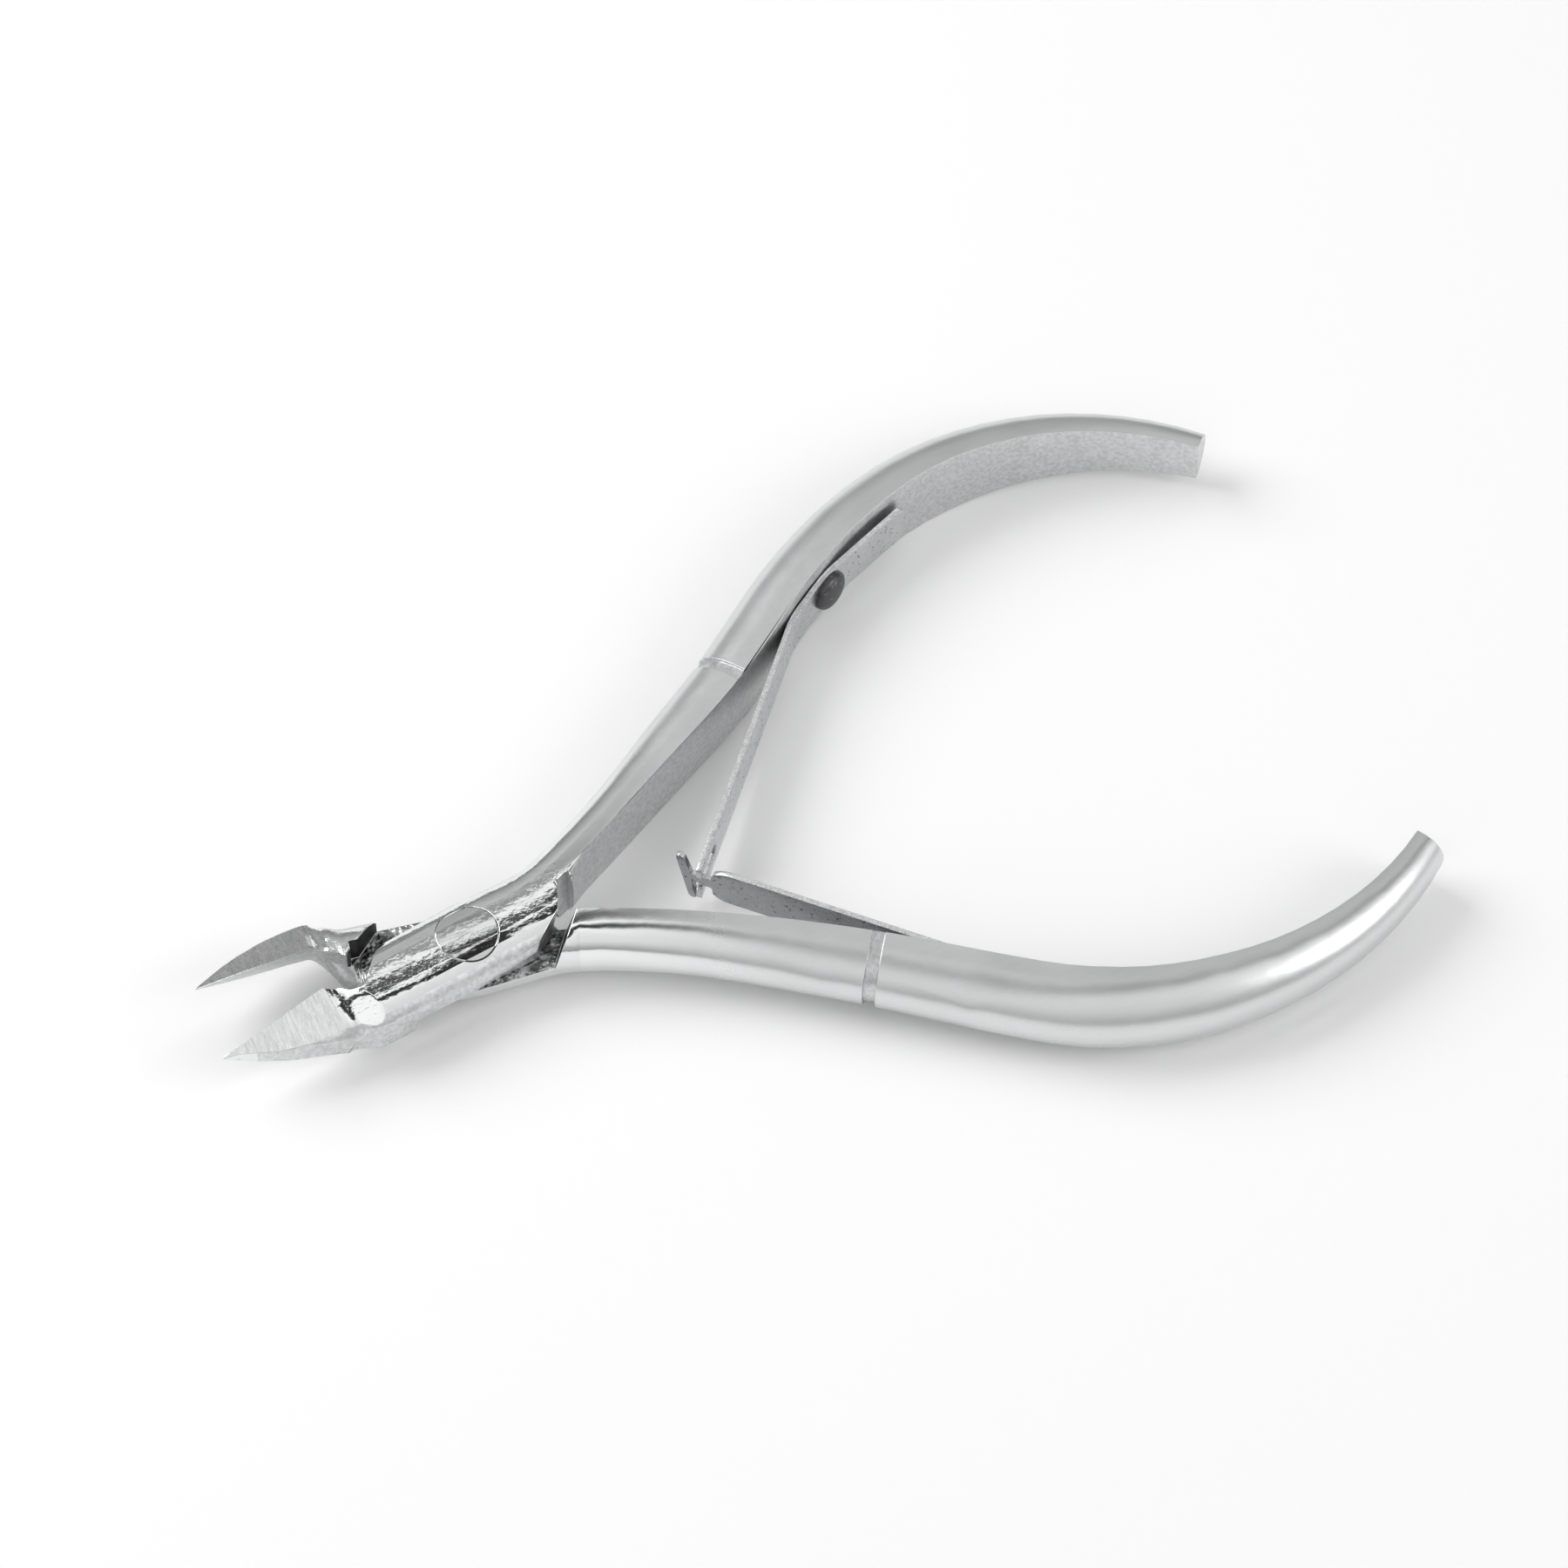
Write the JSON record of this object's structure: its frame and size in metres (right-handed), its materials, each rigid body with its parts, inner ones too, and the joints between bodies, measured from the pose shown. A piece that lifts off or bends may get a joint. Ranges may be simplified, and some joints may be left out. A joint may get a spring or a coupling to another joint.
{
  "type": "cuticle nipper",
  "caption": "Riveted lap joint cuticle nipper with short pointed blades, curved handles and two interlocking leaf springs that hold it open.",
  "frame": {"origin": "on the pivot axis, at the flat back face of the pivot rivet", "axes": "+Z along the pivot axis out of the front face, +X from the pivot to the handle ends, jaws towards -X; shown sprung open"},
  "size_m": [0.106, 0.067, 0.0079],
  "materials": {
    "polished_steel": "bright polished stainless steel, satin where it is ground",
    "spring_steel": "satin rolled strip with sheared edges",
    "dark_rivet": "dull dark steel"
  },
  "bodies": {
    "front": {"front_half": "polished_steel", "pivot_rivet": "polished_steel", "front_leaf_tab": "spring_steel", "front_spring_rivet": "dark_rivet"},
    "rear": {"rear_half": "polished_steel", "rear_leaf_tab": "spring_steel", "rear_spring_rivet": "dark_rivet"},
    "front_leaf": {"front_leaf_blade": "spring_steel"},
    "rear_leaf": {"rear_leaf_blade": "spring_steel"}
  },
  "joints": [
    {"name": "jaw_pivot", "type": "hinge", "parent": "front", "child": "rear", "pos_m": [0, 0, 0.00305], "axis": [0, 0, 1], "range_deg": [0, 17.6], "stiffness_Nm_per_rad": 1.2, "springref_deg": -8.59},
    {"name": "front_leaf_bend", "type": "hinge", "parent": "front", "child": "front_leaf", "pos_m": [0.03919, 0.02033, 0.00305], "axis": [0, 0, 1], "range_deg": [-6.9, 0]},
    {"name": "rear_leaf_bend", "type": "hinge", "parent": "rear", "child": "rear_leaf", "pos_m": [0.03982, -0.01874, 0.00305], "axis": [0, 0, 1], "range_deg": [0, 8]}
  ],
  "couplings": [
    {"joint": "front_leaf_bend", "follows": "jaw_pivot", "ratio": -0.3873},
    {"joint": "rear_leaf_bend", "follows": "jaw_pivot", "ratio": 0.45}
  ]
}
